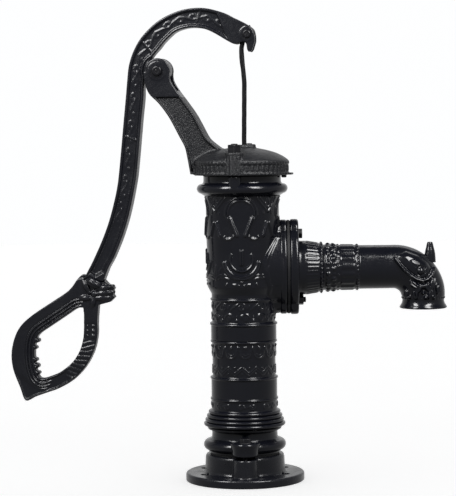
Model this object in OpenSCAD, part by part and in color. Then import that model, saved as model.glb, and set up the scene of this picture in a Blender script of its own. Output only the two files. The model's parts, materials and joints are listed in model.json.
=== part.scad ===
// Hand well pump (cast-iron pitcher pump) with a hooked lever, ornamented barrel and bent spout.
// Millimetres, +Z up, base on z = 0, spout along +X.

/* [Foot] */
// Diameter of the base flange
base_d = 163; // [140:1:180]
// Thickness of the base flange
base_t = 11.5; // [8:0.5:14]
// Core diameter of the threaded suction socket
socket_d = 39; // [30:0.5:45]
// Spacing of the ground bolt holes along X
ground_x = 110; // [100:1:116]
// Spacing of the ground bolt holes along Y
ground_y = 54; // [46:1:60]
// Diameter of the ground bolt holes
ground_d = 11; // [8:0.5:13]

/* [Barrel] */
// Bore of the pump barrel
bore_d = 75; // [70:0.5:75]
// Height of the spout centre line
spout_z = 291.5; // [285:0.5:300]
// Inside diameter of the spout
spout_bore = 50; // [40:1:52]

/* [Head] */
// Turn of the head (cover, lever and rod) about the barrel
head_turn = -11; // [-30:1:30]
// Distance of the fulcrum from the barrel axis
fulcrum_x = -114; // [-116:0.5:-112]
// Height of the fulcrum
fulcrum_z = 562.6; // [561:0.2:564]
// Thickness of the lever
lever_t = 18; // [14:1:18]

/* [Piston] */
// Height of the rod's foot pin with the handle down
foot_pin_z = 228; // [226:1:230]
// Sideways play of the foot pin in its slots
sway = 9.1; // [8:0.1:10]

/* [Hidden] */
$fn = 64;
bore_r = bore_d / 2;
rod_r = 3.3;
pin_r = 5;
rod_pin_r = 4;
rod_pin_x = 10.2;
rod_pin_z = 610.9;
foot_pin_x = 1.2;
chamber_r = 43;
stud_r = 5;
stud_ring = 54;
flange_bolt_z = [247.6, 338.4];
elbow_r = 40;
elbow_x = 206.7;
mouth_x = elbow_x + elbow_r;
iron = [0.09, 0.09, 0.1];
steel = [0.5, 0.5, 0.52];
leather = [0.42, 0.27, 0.15];
brass = [0.72, 0.56, 0.25];

function arc(cx, cy, r, a0, a1, n) =
    [for (i = [0 : n]) [cx + r * cos(a0 + (a1 - a0) * i / n), cy + r * sin(a0 + (a1 - a0) * i / n)]];
function bead(R, z, r) = arc(R - r, z, r, -80, 80, 4);
function cr(a, b, c, d, t) =
    0.5 * (2 * b + (c - a) * t + (2 * a - 5 * b + 4 * c - d) * t * t + (3 * b - a - 3 * c + d) * t * t * t);
function curve(p, n) = concat(
    [for (i = [0 : len(p) - 2], k = [0 : n - 1])
        cr(p[max(i - 1, 0)], p[i], p[i + 1], p[min(i + 2, len(p) - 1)], k / n)],
    [p[len(p) - 1]]);

module head() rotate([0, 0, head_turn]) children();
// slab drawn in the X-Z plane, centred on y = 0
module slab(t) rotate([90, 0, 0]) linear_extrude(t, center = true) children();
module along_y(y0, y1, r) translate([0, y0, 0]) rotate([-90, 0, 0]) cylinder(h = y1 - y0, r = r);
module along_x(x0, x1, r) translate([x0, 0, 0]) rotate([0, 90, 0]) cylinder(h = x1 - x0, r = r);
module hex_z(af, h) rotate([0, 0, 30]) cylinder(h = h, r = af / sqrt(3), $fn = 6);
module bar(p, q, r, over) {
    d = q - p;
    translate([p[0], 0, p[1]]) rotate([0, atan2(d[0], d[1]), 0])
        translate([0, 0, -over]) cylinder(h = norm(d) + 2 * over, r = r, $fn = 32);
}
// two-bolt oval, long way up
module oval(h, w) {
    d = w / 2 - 15;
    R = (52 * 52 + d * d) / (2 * d);
    intersection() {
        translate([R - w / 2, 0]) circle(R, $fn = 160);
        translate([w / 2 - R, 0]) circle(R, $fn = 160);
        square([w, 104], center = true);
    }
    for (s = [-1, 1]) translate([0, s * (h / 2 - 17)]) circle(17);
}
module oval_x(x0, x1, h, w) translate([x0, 0, spout_z + 1.5])
    rotate([90, 0, 90]) linear_extrude(x1 - x0) oval(h, w);

// ---- foot ----
module base_flange() color(iron) difference() {
    union() {
        rotate_extrude($fn = 96) polygon([[0, 0], [base_d / 2, 0], [base_d / 2, base_t - 1.5],
            [base_d / 2 - 1.5, base_t], [58.7, base_t], [56.2, base_t + 1],
            [55.2, base_t + 3.5], [54.2, 33], [53.2, 35.8], [51.2, 37], [0, 37]]);
        for (s = [-1, 1]) translate([0, s * 56, 5]) {
            cylinder(h = 30, r = 15.5);
            cylinder(h = 31.5, r = 14);
        }
    }
    translate([0, 0, -1]) cylinder(h = 25, d = socket_d);
    translate([0, 0, 23]) cylinder(h = 20, r = 16);
    translate([0, 0, 24]) cylinder(h = 3, r1 = socket_d / 2, r2 = 16);
    for (x = [-1, 1], y = [-1, 1]) translate([x * ground_x / 2, y * ground_y / 2, -1])
        cylinder(h = base_t + 8, d = ground_d);
    for (s = [-1, 1]) translate([0, s * 62, 14]) cylinder(h = 30, r = 4.05);
}
module foot_gasket() color(leather) translate([0, 0, 37]) difference() {
    cylinder(h = 3, r = 47.4);
    translate([0, 0, -1]) cylinder(h = 5, r = 35);
}
module foot_flap() color(leather) difference() {
    union() {
        translate([0, 0, 37.3]) cylinder(h = 2.5, r = 25);
        translate([-31.5, -9, 37.3]) cube([16, 18, 2.5]);
    }
    translate([0, 0, 36]) cylinder(h = 5, r = 3.05);
}
module foot_weight() color(iron) difference() {
    translate([0, 0, 39.8]) rotate_extrude()
        polygon([[0, 0], [17, 0], [17, 6], [15, 8.2], [0, 8.2]]);
    translate([0, 0, 39]) cylinder(h = 10, r = 3.05);
}
module foot_screw() color(steel) {
    translate([0, 0, 32]) cylinder(h = 16.2, r = 3);
    translate([0, 0, 48]) hex_z(10, 4);
    translate([0, 0, 34.8]) cylinder(h = 2.5, r = 10);
    translate([0, 0, 31]) hex_z(10, 3.8);
}
module foot_bolts() color(iron) for (s = [-1, 1]) translate([0, s * 62, 0]) {
    translate([0, 0, 17]) cylinder(h = 43, r = 4);
    translate([0, 0, 59]) cylinder(h = 1.4, r = 7.6);
    translate([0, 0, 60.4]) hex_z(13, 5.4);
}

// ---- barrel ----
module barrel_shape() rotate_extrude($fn = 72) polygon(concat(
    [[0, 40], [49.2, 40]],
    arc(49.4, 49.8, 7.2, -90, 90, 10),
    [[45.6, 60], [45, 63], [45, 69]],
    bead(51, 73, 2.2), bead(56.2, 78.5, 2.6), bead(54.2, 84, 2.4),
    bead(52.1, 89.5, 2.4), bead(49.6, 95, 2.4),
    [[45.2, 99], [45.2, 110.6], [46, 112], [46, 115], [45.2, 116.2], [45.2, 139.5], [46, 141],
     [46, 143.4], [43.6, 145], [43.4, 173]],
    bead(45.2, 176, 1.8), [[44.2, 179], [44.2, 190]], bead(45.2, 192.6, 1.8),
    [[44.9, 196], [44.9, 213.5]], bead(46, 216.6, 2), [[43.2, 220.4], [43.2, 247]],
    bead(45.2, 250, 2), [[43.6, 253.4], [43.6, 257.6], [48.8, 267.6], [49, 327], [50, 330.6],
     [50, 389], [52, 392.6]],
    arc(55.4, 401, 6.6, -80, 90, 7),
    [[53.4, 408.6], [53, 410.4], [53, 418], [0, 418]]));
module cylinder_body() color(iron) difference() {
    union() {
        barrel_shape();
        oval_x(16, 60, 129, 78);
        for (s = [-1, 1]) translate([0, s * 56, 40.5]) {
            cylinder(h = 17.2, r = 17.5);
            cylinder(h = 18.5, r = 16);
        }
        head() for (s = [-1, 1]) translate([0, s * stud_ring, 398]) cylinder(h = 20, r = 8.6);
    }
    translate([0, 0, 39]) cylinder(h = 224, r = bore_r, $fn = 96);
    translate([0, 0, 262.5]) cylinder(h = 6, r1 = bore_r, r2 = chamber_r);
    translate([0, 0, 268]) cylinder(h = 151, r = chamber_r);
    translate([0, 0, spout_z]) along_x(20, 61, spout_bore / 2);
    for (z = flange_bolt_z) translate([0, 0, z]) along_x(51, 61, 4.05);
    for (s = [-1, 1]) translate([0, s * 62, 39]) cylinder(h = 24, r = 4.3);
    head() for (s = [-1, 1]) translate([0, s * stud_ring, 393.5]) cylinder(h = 26, r = stud_r + 0.05);
}

// ---- spout ----
module spout_gasket() color([0.14, 0.13, 0.13]) difference() {
    oval_x(60, 64, 129, 77);
    translate([0, 0, spout_z]) along_x(59, 65, spout_bore / 2 + 1);
    for (z = flange_bolt_z) translate([0, 0, z]) along_x(59, 65, 4.5);
}
module elbow(r) translate([elbow_x, 0, spout_z - elbow_r]) rotate([90, 0, 0])
    rotate_extrude(angle = 90) translate([elbow_r, 0]) circle(r);
module spout() color(iron) difference() {
    union() {
        oval_x(64, 76, 131, 79);
        translate([0, 0, spout_z]) rotate([0, 90, 0]) rotate_extrude() polygon(concat(
            [[0, 70], [37.2, 70], [37.2, 76.4], [36.6, 80], [36.5, 84], [33.4, 104]],
            bead(34.4, 107, 2), [[30.6, 110], [31.4, 113], [31.4, 127], [30.2, 129],
             [30, 154], [31, 155.4], [31, 157], [29.4, 158.6], [29.4, elbow_x + 0.01],
             [0, elbow_x + 0.01]]));
        elbow(29.8);
        translate([mouth_x, 0, 240]) cylinder(h = spout_z - elbow_r - 240, r = 28.9);
        translate([mouth_x, 0, 0]) rotate_extrude() polygon([[0, 234.5], [31.6, 234.5],
            [32.4, 236], [31.8, 238.2], [30, 240.8], [29, 243.2], [28.9, 246.9], [0, 246.9]]);
        translate([256.5, 0, 290]) cylinder(h = 35, r1 = 8, r2 = 3.6);
    }
    translate([0, 0, spout_z]) along_x(63, elbow_x + 0.01, spout_bore / 2);
    elbow(spout_bore / 2);
    translate([mouth_x, 0, 229]) cylinder(h = spout_z - elbow_r - 228.99, r = spout_bore / 2);
    for (z = flange_bolt_z) translate([0, 0, z]) along_x(63, 77, 4.3);
}
module spout_bolt() color(iron) translate([0, 0, flange_bolt_z[1]]) {
    along_x(52, 77, 4);
    translate([76, 0, 0]) rotate([0, 90, 0]) hex_z(13, 5.4);
}
module spout_stud() color(iron) translate([0, 0, flange_bolt_z[0]]) along_x(52, 86, 4);
module spout_nut() color(iron) translate([76, 0, flange_bolt_z[0]]) rotate([0, 90, 0]) difference() {
    hex_z(13, 6.5);
    translate([0, 0, -1]) cylinder(h = 9, r = 4.02);
}

// ---- cover with its bracket arm ----
arm_left = [[-133.4, 562], [-132, 548], [-126.3, 532], [-112.2, 517.6], [-98.2, 498.4],
            [-84.1, 472], [-77.1, 458.6], [-74, 446], [-69.5, 420.8]];
arm_right = [[-27.5, 455], [-38, 462.8], [-46.6, 471], [-55.4, 487.4], [-64.8, 504.2],
             [-76.8, 521], [-88.6, 537], [-96, 550], [-97, 562]];
function shift(p, d) = [for (q = p) q + d];
function flip(p) = [for (i = [len(p) - 1 : -1 : 0]) p[i]];
module arm_outline() {
    polygon(concat(curve(arm_left, 4), [[-60, 420.8], [-22, 440]], curve(arm_right, 4)));
    translate([fulcrum_x, fulcrum_z]) circle(17.5);
}
module slot_hole(z0, z1, w, x0, x1) {
    translate([x0, -w, z0]) cube([x1 - x0, 2 * w, z1 - z0]);
    for (x = [x0, x1]) translate([x, 0, z0]) cylinder(h = z1 - z0, r = w, $fn = 32);
}
module cover() color(iron) head() difference() {
    union() {
        difference() {
            rotate_extrude($fn = 96) polygon([[0, 412], [42.6, 412], [42.6, 418], [53.5, 418],
                [53.8, 419.4], [63.6, 419.4], [64.3, 420.2], [64.3, 422.6], [63.4, 423.6],
                [63.4, 433.6], [64.3, 434.6], [64.3, 438.2], [60.3, 442], [52.4, 446.8],
                [42.7, 450.8], [26, 455], [12, 457], [0, 457.4]]);
            translate([0, 0, 411]) cylinder(h = 26, r = 37);
            translate([0, 0, 436.9]) cylinder(h = 12, r1 = 37, r2 = 14);
        }
        for (s = [-1, 1]) translate([0, s * stud_ring, 419.4]) cylinder(h = 31, r = 11);
        slot_hole(448, 461, 7.2, 4.3, 12.2);
        translate([60, -9, 419.4]) cube([10, 18, 2.8]);
        translate([58, 0, 415.5]) cylinder(h = 4.5, r = 3.6);
        // web of the arm with a raised flange down each edge
        slab(23) intersection() {
            arm_outline();
            translate([-140, 440]) square([140, 105]);
        }
        slab(23) polygon([[-72.8, 440], [-70.4, 425], [-62, 425], [-50, 440]]);
        slab(30) intersection() {
            polygon(concat(curve(arm_left, 4), flip(curve(shift(arm_left, [3.4, 0.6]), 4))));
            translate([-140, 421]) square([140, 125]);
        }
        slab(30) polygon(concat(curve(arm_right, 4), flip(curve(shift(arm_right, [-4.2, -1.6]), 4))));
        slab(30) intersection() {
            arm_outline();
            translate([-140, 527]) square([60, 80]);
        }
    }
    // fork for the lever
    translate([-150, -lever_t / 2 - 0.6, 535.3]) cube([70, lever_t + 1.2, 60]);
    translate([fulcrum_x, 0, fulcrum_z]) along_y(-20, 20, pin_r + 0.05);
    slot_hole(430, 470, 4, 4, 12.5);
    for (s = [-1, 1]) translate([0, s * stud_ring, 410]) cylinder(h = 50, r = stud_r + 0.3);
}
module cover_studs() color(iron) head() for (s = [-1, 1]) translate([0, s * stud_ring, 395])
    cylinder(h = 67.5, r = stud_r);
module cover_nuts() color(iron) head() for (s = [-1, 1]) translate([0, s * stud_ring, 450.4])
    difference() {
        hex_z(17, 10.6);
        translate([0, 0, -1]) cylinder(h = 14, r = stud_r + 0.02);
    }

// ---- lever ----
outer_edge = [[20.6, 600], [20.4, 609], [17, 618], [5.4, 626], [-8.5, 633], [-22.4, 640.2],
    [-43, 646.2], [-60, 647.6], [-80, 645.2], [-99.8, 638.3], [-116, 629], [-130, 616.8],
    [-141, 603.8], [-149.5, 588], [-155.2, 571], [-157.6, 553], [-160.2, 527], [-163.8, 494],
    [-170.6, 430], [-174.2, 404], [-179.8, 380], [-187, 355.5], [-196.5, 331], [-207.7, 307],
    [-216, 291], [-224, 277]];
inner_edge = [[-196, 273], [-188.4, 292], [-180.7, 305.5], [-169.8, 330.5], [-161, 355.5],
    [-154.4, 380.5], [-149.2, 405.5], [-145.5, 429], [-138.7, 495.8], [-135.4, 524],
    [-134.4, 545], [-131, 565], [-122.4, 581.6], [-112, 593.2], [-106.4, 600.2], [-98.4, 608],
    [-88.8, 615.6], [-75, 619.9], [-61.1, 620.6], [-47, 618.2], [-33, 611.6], [-19, 603.1],
    [-7, 597.2], [1, 599.4], [6.4, 600.2], [9.2, 597]];
hook_tip = [[10.2, 589.8], [11.8, 586.9], [14.8, 586.3], [17.4, 589.6]];
loop_outer = [[-226, 283], [-232.7, 277.4], [-245.9, 260.7], [-271.1, 244], [-297.4, 227.1],
    [-315.8, 211.4], [-326.2, 192.8], [-330.9, 169.5], [-328, 146.2], [-319.3, 123.4],
    [-311.6, 105], [-297, 110.6], [-280.2, 116.6], [-262.8, 122.8], [-241.9, 135],
    [-224.3, 153], [-211.8, 175.4], [-206.3, 197.6], [-205.9, 218.5], [-204, 240]];
knot_leaves = [[-187, 244.6], [-180.1, 251.5], [-184, 257.6], [-180.3, 264.5], [-189, 269.4],
    [-196, 277]];
loop_hole = [[-226, 236.4], [-235.1, 235], [-254.4, 222.4], [-273.9, 209.7], [-291.6, 196.9],
    [-297.1, 180.2], [-297, 160], [-293, 142], [-286.4, 137], [-271.6, 141.2], [-259, 147],
    [-244.4, 158.3], [-235.6, 169.5], [-230.1, 180.7], [-226.5, 195], [-225.3, 214.2],
    [-225, 228]];
module lever() color(iron) head() difference() {
    union() {
        slab(lever_t) polygon(concat(curve(outer_edge, 3), curve(inner_edge, 3), hook_tip));
        slab(lever_t) translate([fulcrum_x, fulcrum_z]) circle(17);
        slab(16) polygon(concat(curve(loop_outer, 4), knot_leaves));
        translate([-209, 0, 271]) rotate([0, 26, 0]) {
            cylinder(h = 10, r = 13.4, center = true);
            cylinder(h = 4.4, r = 15.4, center = true);
        }
    }
    slab(30) polygon(curve(loop_hole, 4));
    translate([fulcrum_x, 0, fulcrum_z]) along_y(-20, 20, pin_r + 0.05);
    translate([rod_pin_x, 0, rod_pin_z]) along_y(-20, 20, rod_pin_r + 0.05);
    translate([-8, -4.2, 570]) cube([40, 8.4, 80]);
}

// ---- pins of the lever ----
module cotter(r) {
    translate([0, 0, -13]) cylinder(h = 24, r = r, $fn = 24);
    translate([0, 0, 12]) rotate([0, 90, 0]) rotate_extrude($fn = 24) translate([2.4, 0]) circle(r, $fn = 16);
}
module fulcrum_pin() color(steel) head() translate([fulcrum_x, 0, fulcrum_z]) difference() {
    union() {
        along_y(-15.1, 24, pin_r);
        along_y(-19.2, -15.1, 7);
    }
    translate([0, 20.4, -10]) cylinder(h = 20, r = 1.5, $fn = 24);
}
module fulcrum_washer() color(steel) head() translate([fulcrum_x, 0, fulcrum_z]) difference() {
    along_y(15.1, 17.4, 9.5);
    along_y(14, 19, pin_r + 0.1);
}
module fulcrum_cotter() color(steel) head() translate([fulcrum_x, 20.4, fulcrum_z]) cotter(1.45);
module rod_pin() color(steel) head() translate([rod_pin_x, 0, rod_pin_z]) difference() {
    union() {
        along_y(-9.1, 16, rod_pin_r);
        along_y(-12, -9.1, 5.8);
    }
    translate([0, 13, -10]) cylinder(h = 20, r = 1.25, $fn = 24);
}
module rod_washer() color(steel) head() translate([rod_pin_x, 0, rod_pin_z]) difference() {
    along_y(9.1, 10.7, 7.5);
    along_y(8, 12, rod_pin_r + 0.1);
}
module rod_cotter() color(steel) head() translate([rod_pin_x, 13, rod_pin_z]) scale(0.82) cotter(1.45);

// ---- rod ----
rod_line = [[3.8, 604], [0.6, 590], [4.6, 548], [1.3, 240]];
module piston_rod() color(steel) head() {
    difference() {
        union() {
            for (i = [0 : len(rod_line) - 2]) bar(rod_line[i], rod_line[i + 1], rod_r, 0.6);
            translate([rod_pin_x, 0, rod_pin_z]) along_y(-3.5, 3.5, 10.4);
        }
        translate([rod_pin_x, 0, rod_pin_z]) along_y(-9, 9, rod_pin_r + 0.05);
    }
}
module rod_locknut() color(steel) head() translate([1.47, 0, 250]) difference() {
    hex_z(13, 6.5);
    translate([0, 0, -1]) cylinder(h = 9, r = rod_r + 0.15);
}
module rod_end() color(steel) head() difference() {
    union() {
        translate([foot_pin_x, 0, foot_pin_z]) cylinder(h = 22, r = 8);
        translate([foot_pin_x, 0, foot_pin_z]) along_y(-7, 7, 9);
    }
    translate([foot_pin_x + 0.2, 0, foot_pin_z + 10]) cylinder(h = 20, r = rod_r + 0.3);
    translate([foot_pin_x, 0, foot_pin_z]) along_y(-9, 9, 4.02);
}
module foot_pin() color(steel) head() translate([foot_pin_x, 0, foot_pin_z]) {
    along_y(-16.4, 16.4, 4);
    along_y(-16.8, -14.6, 5.8);
    along_y(14.6, 16.8, 5.8);
}

// ---- piston ----
module piston_screw_at() head() for (a = [35, 145, 215, 325])
    translate([26.5 * cos(a), 26.5 * sin(a), 0]) children();
module piston_cage() color(brass) head() difference() {
    union() {
        translate([0, 0, 193.2]) cylinder(h = 5.8, r = 32);
        intersection() {
            cylinder(h = 260, r = 33);
            union() {
                for (s = [-1, 1]) translate([-6, s * 26 - 4, 198]) cube([12, 8, 14]);
                translate([-11, -30, 210]) cube([32.5, 60, 6]);
                for (s = [-1, 1]) translate([-11, s * 11 - 3, 215]) cube([32.5, 6, 25]);
            }
        }
    }
    translate([0, 0, 190]) cylinder(h = 12, r = 20.6);
    translate([0, 0, foot_pin_z]) for (x = [foot_pin_x, foot_pin_x + sway])
        translate([x, 0, 0]) along_y(-20, 20, 5);
    translate([foot_pin_x, -20, foot_pin_z - 5]) cube([sway, 40, 10]);
    rotate([0, 0, -head_turn]) piston_screw_at() translate([0, 0, 190]) cylinder(h = 12, r = 2.6, $fn = 32);
}
module piston_screws() color(steel) piston_screw_at() {
    translate([0, 0, 181]) cylinder(h = 19, r = 2.5, $fn = 32);
    translate([0, 0, 199]) hex_z(8, 3.6);
}
module piston_body() color(brass) difference() {
    union() {
        translate([0, 0, 178]) cylinder(h = 12, r = 35);
        translate([0, 0, 178]) cylinder(h = 15, r = 19.5);
    }
    difference() {
        translate([0, 0, 177]) cylinder(h = 17, r = 14);
        translate([0, 0, 180]) cylinder(h = 6, r = 7);
        for (a = [0, 120, 240]) rotate([0, 0, a]) translate([0, -2, 180]) cube([15, 4, 6]);
    }
    translate([0, 0, 177]) cylinder(h = 17, r = 4.3);
    piston_screw_at() translate([0, 0, 180]) cylinder(h = 12, r = 2.6, $fn = 32);
}
module piston_cup() color(leather) difference() {
    rotate_extrude($fn = 96) polygon([[19.6, 190], [bore_r - 0.05, 190], [bore_r - 0.05, 204],
        [35, 204], [34, 193.2], [19.6, 193.2]]);
    piston_screw_at() translate([0, 0, 188]) cylinder(h = 8, r = 2.6, $fn = 32);
}
module piston_valve() color(brass) {
    translate([0, 0, 193.3]) cylinder(h = 5, r = 18);
    translate([0, 0, 173]) cylinder(h = 20.6, r = 4);
}

base_flange();
foot_gasket();
foot_flap();
foot_weight();
foot_screw();
foot_bolts();
cylinder_body();
spout_gasket();
spout();
spout_bolt();
spout_stud();
spout_nut();
cover();
cover_studs();
cover_nuts();
fulcrum_pin();
fulcrum_washer();
fulcrum_cotter();
lever();
rod_pin();
rod_washer();
rod_cotter();
piston_rod();
rod_locknut();
rod_end();
foot_pin();
piston_cage();
piston_screws();
piston_body();
piston_cup();
piston_valve();
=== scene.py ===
import functools
import json
import math
import bpy
import numpy as np
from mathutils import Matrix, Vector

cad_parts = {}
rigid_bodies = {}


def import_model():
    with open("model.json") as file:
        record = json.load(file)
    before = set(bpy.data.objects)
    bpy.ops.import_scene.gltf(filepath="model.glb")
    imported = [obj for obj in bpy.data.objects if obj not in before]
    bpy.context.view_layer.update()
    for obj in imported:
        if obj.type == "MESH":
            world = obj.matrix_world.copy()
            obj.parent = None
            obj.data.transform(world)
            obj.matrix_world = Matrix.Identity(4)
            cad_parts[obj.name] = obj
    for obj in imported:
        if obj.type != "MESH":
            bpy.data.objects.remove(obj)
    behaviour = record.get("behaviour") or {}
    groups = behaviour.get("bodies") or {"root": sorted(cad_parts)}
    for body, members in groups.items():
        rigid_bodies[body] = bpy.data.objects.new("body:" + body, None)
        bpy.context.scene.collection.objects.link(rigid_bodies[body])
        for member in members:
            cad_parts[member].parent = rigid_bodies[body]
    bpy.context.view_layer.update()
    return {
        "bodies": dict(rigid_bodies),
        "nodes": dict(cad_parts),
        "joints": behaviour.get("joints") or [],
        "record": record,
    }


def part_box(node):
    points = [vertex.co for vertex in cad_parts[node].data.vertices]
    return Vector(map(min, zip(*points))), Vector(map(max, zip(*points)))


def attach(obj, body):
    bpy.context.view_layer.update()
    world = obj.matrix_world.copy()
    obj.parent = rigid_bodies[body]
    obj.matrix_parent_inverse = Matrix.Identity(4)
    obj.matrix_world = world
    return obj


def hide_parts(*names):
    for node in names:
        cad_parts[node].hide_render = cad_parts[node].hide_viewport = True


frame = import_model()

import openvdb
from mathutils import Matrix, Vector

pi = math.pi
joints = {j["name"]: j for j in frame["joints"]}
hinge_axis = joints["lever_swing"]["axis"]
TURN = math.atan2(-hinge_axis[0], hinge_axis[1])  # turn of the head about the barrel
CT, ST = math.cos(TURN), math.sin(TURN)


def to_head(p):
    """Row frame to the head's own frame, where the lever lies in the X-Z plane (mm)."""
    p = np.asarray(p, float)
    return np.stack([p[..., 0] * CT + p[..., 1] * ST, -p[..., 0] * ST + p[..., 1] * CT, p[..., 2]], -1)


def from_head(p):
    p = np.asarray(p, float)
    return np.stack([p[..., 0] * CT - p[..., 1] * ST, p[..., 0] * ST + p[..., 1] * CT, p[..., 2]], -1)


fulcrum = to_head(np.array(joints["lever_swing"]["pos_m"]) * 1000)
rod_eye = to_head(np.array(joints["rod_swing"]["pos_m"]) * 1000)


def mm_box(node):
    a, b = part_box(node)
    return np.array(a) * 1000, np.array(b) * 1000


# ---- materials
def nodes_of(name):
    m = bpy.data.materials.new(name)
    m.use_nodes = True
    t = m.node_tree
    return m, t, t.nodes["Principled BSDF"]


def noise(t, scale, detail=3.0, rough=0.55):
    n = t.nodes.new("ShaderNodeTexNoise")
    n.inputs["Scale"].default_value = scale
    n.inputs["Detail"].default_value = detail
    n.inputs["Roughness"].default_value = rough
    t.links.new(t.nodes["Texture Coordinate"].outputs["Object"], n.inputs["Vector"])
    return n.outputs["Fac"]


def ramp(t, fac, a, b, lo=0.35, hi=0.65):
    r = t.nodes.new("ShaderNodeMapRange")
    for k, v in zip(("From Min", "From Max", "To Min", "To Max"), (lo, hi, a, b)):
        r.inputs[k].default_value = v
    t.links.new(fac, r.inputs["Value"])
    return r.outputs["Result"]


def mixed(t, fac, a, b):
    m = t.nodes.new("ShaderNodeMix")
    m.data_type = "RGBA"
    m.inputs["A"].default_value = (*a, 1)
    m.inputs["B"].default_value = (*b, 1)
    t.links.new(fac, m.inputs["Factor"])
    return m.outputs["Result"]


def bumped(t, layers):
    last = None
    for fac, dist, strength in layers:
        b = t.nodes.new("ShaderNodeBump")
        b.inputs["Distance"].default_value = dist
        b.inputs["Strength"].default_value = strength
        t.links.new(fac, b.inputs["Height"])
        if last is not None:
            t.links.new(last, b.inputs["Normal"])
        last = b.outputs["Normal"]
    return last


def joined(t, operation, a, b):
    n = t.nodes.new("ShaderNodeMath")
    n.operation = operation
    t.links.new(a, n.inputs[0])
    t.links.new(b, n.inputs[1])
    return n.outputs[0]


def surface(name, tint, worn, rough, grain, coat=0.0, metal=0.0, edge=0.5, spec=0.5):
    """A finish over a casting: colour drifts and wears on ridges, roughness and bump vary."""
    m, t, p = nodes_of(name)
    t.nodes.new("ShaderNodeTexCoord")
    broad = noise(t, 45, 4)
    speck = noise(t, 520, 2)
    geo = t.nodes.new("ShaderNodeNewGeometry")
    ridge = ramp(t, geo.outputs["Pointiness"], 0.0, edge, 0.505, 0.57)
    patch = ramp(t, broad, 0.25, 1.0, 0.4, 0.7)
    t.links.new(mixed(t, joined(t, "MULTIPLY", ridge, patch), tint, worn), p.inputs["Base Color"])
    shine = joined(t, "ADD", ramp(t, broad, *rough, 0.3, 0.7), ramp(t, speck, -0.05, 0.05))
    t.links.new(shine, p.inputs["Roughness"])
    p.inputs["Metallic"].default_value = metal
    p.inputs["Specular IOR Level"].default_value = spec
    p.inputs["Coat Weight"].default_value = coat
    p.inputs["Coat Roughness"].default_value = 0.12
    layers = [(noise(t, s, d), dist, k) for s, d, dist, k in grain]
    t.links.new(bumped(t, layers), p.inputs["Normal"])
    return m


GLOSS = surface("gloss_black", (0.0008, 0.0009, 0.0015), (0.005, 0.005, 0.006), (0.13, 0.24),
                [(120, 3, 0.0007, 0.16), (900, 2, 0.0001, 0.18)], spec=0.115)
SATIN = surface("satin_black", (0.0015, 0.0016, 0.0020), (0.009, 0.009, 0.0095), (0.34, 0.46),
                [(430, 4, 0.0012, 0.7), (1300, 2, 0.0004, 0.5)], spec=0.1)
DARK = surface("dark_fastener", (0.001, 0.001, 0.0014), (0.014, 0.014, 0.0145), (0.22, 0.36),
               [(700, 3, 0.0002, 0.4)], edge=0.8, spec=0.1)
ROD = surface("rod_black", (0.0008, 0.0008, 0.001), (0.005, 0.005, 0.005), (0.3, 0.42), [(800, 3, 0.00015, 0.4)],
              spec=0.06)
STEEL = surface("dull_zinc", (0.28, 0.28, 0.29), (0.5, 0.5, 0.5), (0.35, 0.5), [(600, 3, 0.0001, 0.4)], metal=1.0)
BRASS = surface("machined_brass", (0.5, 0.36, 0.13), (0.7, 0.55, 0.25), (0.28, 0.42), [(500, 2, 0.0001, 0.3)],
                metal=1.0)
LEATHER = surface("oiled_leather", (0.13, 0.065, 0.03), (0.2, 0.11, 0.06), (0.5, 0.7), [(420, 4, 0.0005, 0.7)])
RAW = surface("bare_casting", (0.07, 0.062, 0.058), (0.13, 0.12, 0.11), (0.55, 0.75), [(380, 4, 0.0006, 0.7)],
              metal=0.6)
GRAINY = surface("gloss_black_grainy", (0.0009, 0.0010, 0.0016), (0.006, 0.006, 0.007), (0.2, 0.32),
                 [(190, 3, 0.0007, 0.3), (900, 3, 0.0002, 0.4)], spec=0.12)
RUBBER = surface("gasket_rubber", (0.0015, 0.0015, 0.0018), (0.005, 0.005, 0.005), (0.5, 0.65),
                 [(500, 3, 0.0003, 0.5)], spec=0.08)


# ---- mesh tools (all in mm)
def build(name, parts, mat, body, replaces=(), smooth=35, head=False, soften=0):
    """One object from (points, faces) parts; faces are index arrays of 3 or 4 columns."""
    me = bpy.data.meshes.new(name)
    pts, quads, base = [], [], 0
    for p, fs in parts:
        p = np.asarray(p, float).reshape(-1, 3)
        pts.append(p)
        for f in (fs if isinstance(fs, (list, tuple)) else [fs]):
            if len(f):
                quads.append(np.asarray(f, int) + base)
        base += len(p)
    p = np.concatenate(pts)
    if head:
        p = from_head(p)
    p = p / 1000
    loops = np.concatenate([q.ravel() for q in quads])
    sizes = np.concatenate([np.full(len(q), q.shape[1]) for q in quads])
    me.vertices.add(len(p))
    me.vertices.foreach_set("co", p.astype(np.float32).ravel())
    me.loops.add(len(loops))
    me.loops.foreach_set("vertex_index", loops.astype(np.int32))
    me.polygons.add(len(sizes))
    me.polygons.foreach_set("loop_start", np.concatenate([[0], np.cumsum(sizes)[:-1]]).astype(np.int32))
    me.update(calc_edges=True)
    me.validate()
    me.polygons.foreach_set("use_smooth", np.ones(len(me.polygons), bool))
    if smooth < 180:
        me.set_sharp_from_angle(angle=math.radians(smooth))
    me.materials.append(mat)
    ob = bpy.data.objects.new(name, me)
    bpy.context.scene.collection.objects.link(ob)
    if soften:
        soft = ob.modifiers.new("soften", "SMOOTH")
        soft.factor, soft.iterations = 0.5, soften
    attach(ob, body)
    if replaces:
        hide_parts(*replaces)
    return ob


def casting(name, part, node="cylinder_body", smooth=180, soften=0):
    build(name, [part], GLOSS, "stand", [node], smooth=smooth, soften=soften)


def body_of(node):
    up = frame["nodes"][node]
    while up.parent is not None and up.name not in frame["bodies"]:
        up = up.parent
    return next(k for k, b in frame["bodies"].items() if b == up or b.name == up.name)


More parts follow.
